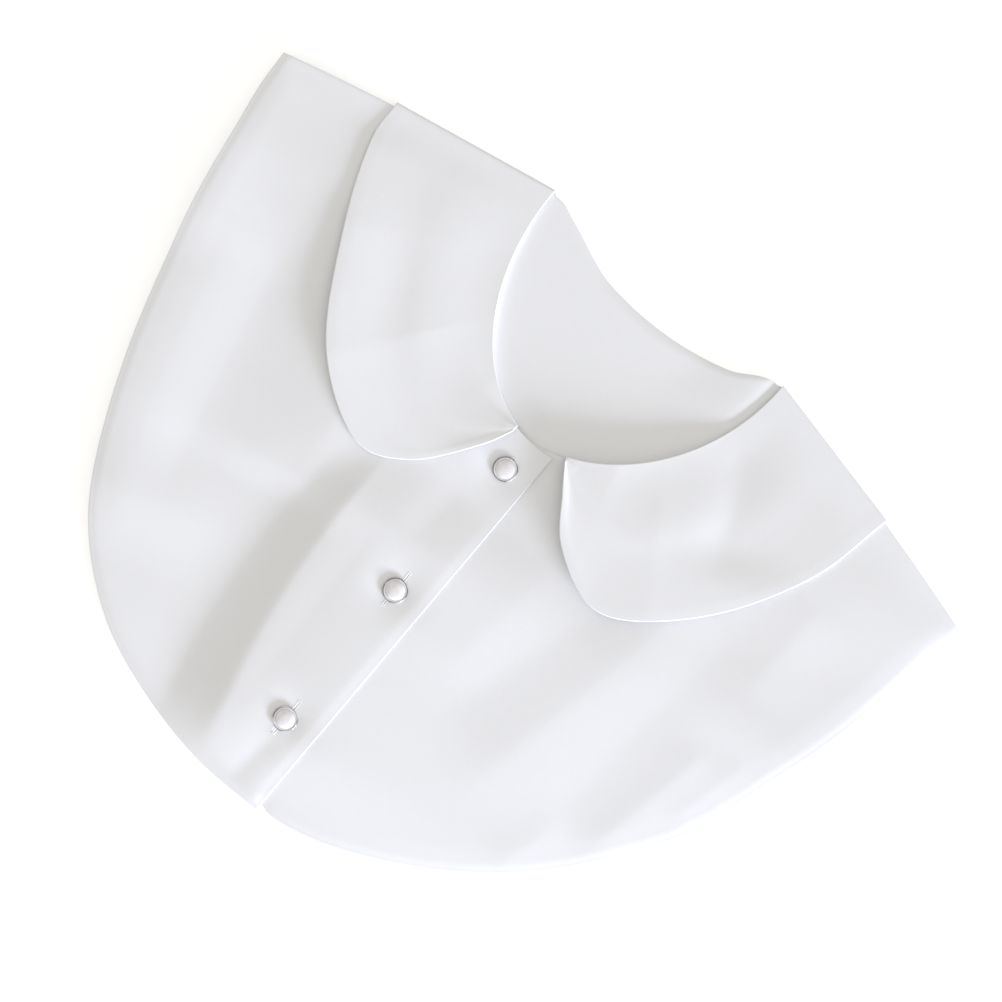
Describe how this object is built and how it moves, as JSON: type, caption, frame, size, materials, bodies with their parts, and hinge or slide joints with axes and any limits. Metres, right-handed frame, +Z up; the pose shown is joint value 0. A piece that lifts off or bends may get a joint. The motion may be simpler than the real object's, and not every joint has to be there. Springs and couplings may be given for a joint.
{
  "type": "detachable collar",
  "caption": "Buttoned shirt-front collar: a rounded turned-down collar on a short front and back bib, laid flat with its front up.",
  "frame": {"origin": "centre of the underside's box, on the surface that the collar lies on", "axes": "+X across the shoulders, to the right as seen from above; +Y up to the neck; +Z up from the surface"},
  "size_m": [0.394, 0.2954, 0.012],
  "materials": {
    "cotton": "plain white shirting with a soft matt face",
    "silver": "polished silver-coloured rim",
    "pearl": "pearl gloss"
  },
  "bodies": {
    "root": {"front_panel_left": "cotton", "front_panel_right": "cotton", "back_panel": "cotton", "collar": "cotton", "button_rim_1": "silver", "button_rim_2": "silver", "button_rim_3": "silver", "button_pearl_1": "pearl", "button_pearl_2": "pearl", "button_pearl_3": "pearl"}
  },
  "joints": []
}
